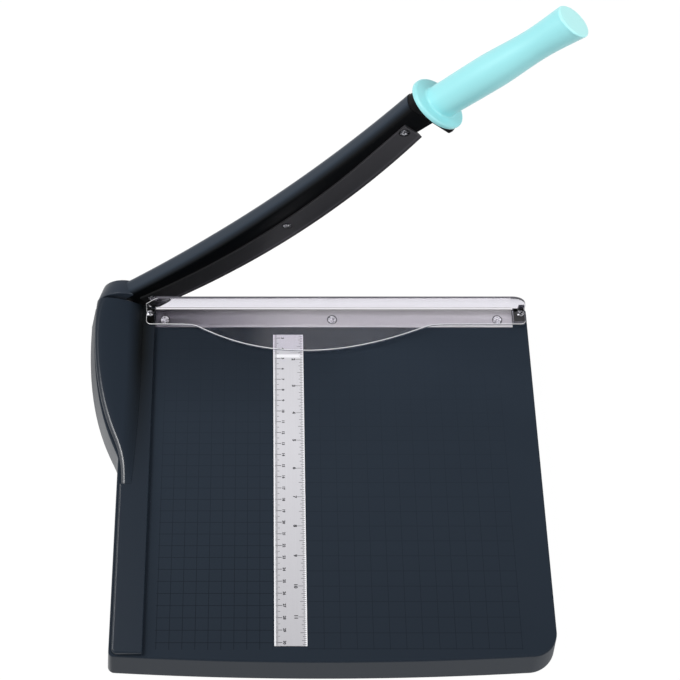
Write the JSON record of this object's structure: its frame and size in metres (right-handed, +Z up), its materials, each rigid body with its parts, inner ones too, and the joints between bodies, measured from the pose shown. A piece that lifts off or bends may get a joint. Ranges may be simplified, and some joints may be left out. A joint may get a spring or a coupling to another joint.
{
  "type": "guillotine paper cutter",
  "caption": "Guillotine paper cutter: ribbed moulded base with paper stop and ruler, spring-loaded hinge, curved arm with blade and grip, clear guard over the knife.",
  "frame": {"origin": "on the desk under the middle of the part's outline, with the arm raised as in the picture", "axes": "+X right along the cutting line towards the grip's side, +Y away from the user, +Z up"},
  "size_m": [0.3814, 0.3496, 0.4011],
  "materials": {
    "board_plastic": "fine satin moulding, dark slate",
    "arm_paint": "cast alloy under satin navy-black paint",
    "blade_steel": "dark coated steel, satin",
    "knife_steel": "ground along its length",
    "guard_clear": "clear moulding with bright edges",
    "black_plastic": "black moulding",
    "ruler_aluminium": "matt anodised with black printed scales",
    "grip_aqua": "soft satin moulding",
    "screw_steel": "bright plated",
    "pivot_steel": "turned or pressed steel",
    "bush_brass": "turned",
    "foot_rubber": "matt"
  },
  "bodies": {
    "base": {"base_board": "board_plastic", "fence_rail": "board_plastic", "rail_screws": "screw_steel", "hinge_cover": "board_plastic", "cover_screws": "screw_steel", "hinge_bracket": "pivot_steel", "bracket_screws": "screw_steel", "pivot_bolt": "pivot_steel", "thrust_washer": "pivot_steel", "spring_washer": "pivot_steel", "pivot_spring": "pivot_steel", "spring_cup": "pivot_steel", "lock_nut": "pivot_steel", "fixed_knife": "knife_steel", "knife_screws": "screw_steel", "finger_guard": "guard_clear", "guard_pad": "black_plastic", "guard_screws": "screw_steel", "ruler_strip": "ruler_aluminium", "foot_front_left": "foot_rubber", "foot_front_right": "foot_rubber", "foot_back_left": "foot_rubber", "foot_back_right": "foot_rubber"},
    "cutting_arm": {"arm": "arm_paint", "moving_blade": "blade_steel", "blade_screws": "screw_steel", "pivot_bush": "bush_brass", "handle_tang": "pivot_steel", "hand_stop": "black_plastic", "grip": "grip_aqua"}
  },
  "joints": [
    {"name": "arm_hinge", "type": "hinge", "parent": "base", "child": "cutting_arm", "pos_m": [-0.1605, 0.14356, 0.033], "axis": [0, -1, 0], "range_deg": [-47, 13]}
  ]
}
